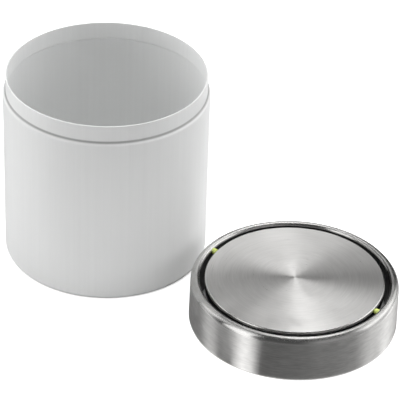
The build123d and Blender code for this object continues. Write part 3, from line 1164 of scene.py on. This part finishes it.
def add_card(name, shape):
    """Makes a card of a mesh. Only glossy rays meet it."""
    mesh = drawn_mesh(name, shape)
    material = bpy.data.materials.new(name)
    material.use_nodes = True
    tree = material.node_tree
    tree.nodes.clear()
    links = {"Color": plain_white, "Strength": kept_value(tree, "tone")}
    glow = add_node(tree, "ShaderNodeEmission", links)
    out = add_node(tree, "ShaderNodeOutputMaterial")
    tree.links.new(glow.outputs[0], out.inputs["Surface"])
    mesh.materials.append(material)
    card = new_object(name, mesh)
    card.visible_camera = False
    card.visible_diffuse = False
    card.visible_shadow = False
    card.visible_transmission = False


def make_floor():
    """A pale floor. Its lift to white adds no light to the part, and it keeps the shadow."""
    shape = bmesh.new()
    bmesh.ops.create_circle(shape, cap_ends=True, segments=floor_sides, radius=floor_reach)
    mesh = drawn_mesh("studio_floor", shape)
    material, tree, shader = new_material("pale_floor", Roughness=0.9)
    shader.inputs["Specular IOR Level"].default_value = 0.1
    grain = use_group(tree, GRAIN, {
        "Place": object_place(tree),
        "Base": (floor_tone, floor_tone, floor_tone, 1.0),
        "Grain size": 2.0 * MM,
        "Tone spread": 0.01,
    })
    tree.links.new(grain.outputs["Colour"], shader.inputs["Base Color"])
    rays = add_node(tree, "ShaderNodeLightPath")
    seen = math_node(tree, "ADD", rays.outputs["Is Camera Ray"], rays.outputs["Is Glossy Ray"])
    seen = math_node(tree, "ADD", seen, rays.outputs["Is Transmission Ray"], clamp=True)
    open_sky = add_node(tree, "ShaderNodeAmbientOcclusion", {"Distance": covered_reach}, samples=12)
    uncovered = ranged(tree, open_sky.outputs["AO"], 0.1, 0.28)
    seen = scaled(tree, seen, uncovered)
    lift = add_node(tree, "ShaderNodeEmission", {
        "Color": plain_white,
        "Strength": scaled(tree, seen, floor_lift),
    })
    both = add_node(tree, "ShaderNodeAddShader", {0: shader.outputs[0], 1: lift.outputs[0]})
    tree.links.new(both.outputs[0], tree.nodes["Material Output"].inputs["Surface"])
    mesh.materials.append(material)
    floor = new_object("studio_floor", mesh)


def make_world():
    """Even light from all round, lower overhead than near the horizon. The camera sees white."""
    world = bpy.data.worlds.new("studio_room")
    world.use_nodes = True
    tree = world.node_tree
    tree.nodes.clear()
    direction = add_node(tree, "ShaderNodeTexCoord").outputs["Generated"]
    share = add_node(tree, "ShaderNodeMapRange", {
        "Value": part_of(tree, direction, "Z"),
        "To Min": room_low,
        "To Max": room_overhead,
    })
    rays = add_node(tree, "ShaderNodeLightPath")
    strength = mixed_value(tree, rays.outputs["Is Camera Ray"], share.outputs[0], 1.0)
    light = add_node(tree, "ShaderNodeBackground", {"Color": plain_white, "Strength": strength})
    out = add_node(tree, "ShaderNodeOutputWorld")
    tree.links.new(light.outputs[0], out.inputs["Surface"])
    bpy.context.scene.world = world


make_camera()
make_world()
make_floor()
make_lamp("left_soft_box", -101.0, 22.0, 1.6, 2.4, 1.2, 2.3)
make_lamp("right_soft_box", 106.0, 25.0, 1.6, 2.8, 1.2, 1.65)
make_lamp("top_soft_box", 180.0, 80.0, 1.5, 0.9, 0.8, 5.2)
make_lamp("front_soft_box", 4.0, 3.0, 1.6, 0.9, 0.35, 1.6)

# The place on the vessel, low and on the right, that the lid shades
shaded_side = studio_direction(camera_turn + radians(46.0), 0.0) * vessel_radius
shaded_side.z = 9.0 * MM
make_spot("fill_spot", 0.0, 22.0, 1.2, shaded_side, 0.047, 31.0)

make_dome_card("studio_dome", [
    ((162.4, 184.0), 22.3, (41.1, 63.5), 14.9, 5.7),
    ((75.7, 141.9), 6.2, (15.1, 49.3), 20.1, 2.0),
    ((286.0, 317.6), 2.0, (-8.0, 59.7), 5.2, 1.8),
    ((242.0, 270.4), 11.8, (15.0, 68.0), 21.9, 1.5),
    ((14.1, 84.8), 28.1, (-5.4, 53.1), 21.2, 0.45),
    ((-30.0, 30.0), 20.0, (-10.0, 75.0), 20.0, 0.1),
    ((322.0, 400.0), 20.0, (-10.0, 75.0), 20.0, 0.1),
], 0.0, 1.2)

# Turn and brightness of the strips of the floor's card
make_floor_card("floor_reflector", spaced([
    (-180.0, 0.14), (-145.0, 0.2), (-120.0, 0.3), (-110.0, 0.9), (-100.0, 1.15), (-90.0, 0.42),
    (-82.0, 0.21), (-74.0, 0.1), (-66.0, 1.1), (-58.0, 1.9), (-48.0, 1.65), (-42.0, 0.8),
    (-37.0, 0.22), (0.0, 0.27), (40.0, 0.29), (70.0, 0.43), (90.0, 1.02), (105.0, 1.1),
    (118.0, 2.05), (132.0, 1.07), (145.0, 0.86), (156.0, 0.31), (180.0, 0.14),
], 3.0), 0.3 * MM, 1.16)

view = bpy.context.scene.view_settings
view.view_transform = "Standard"
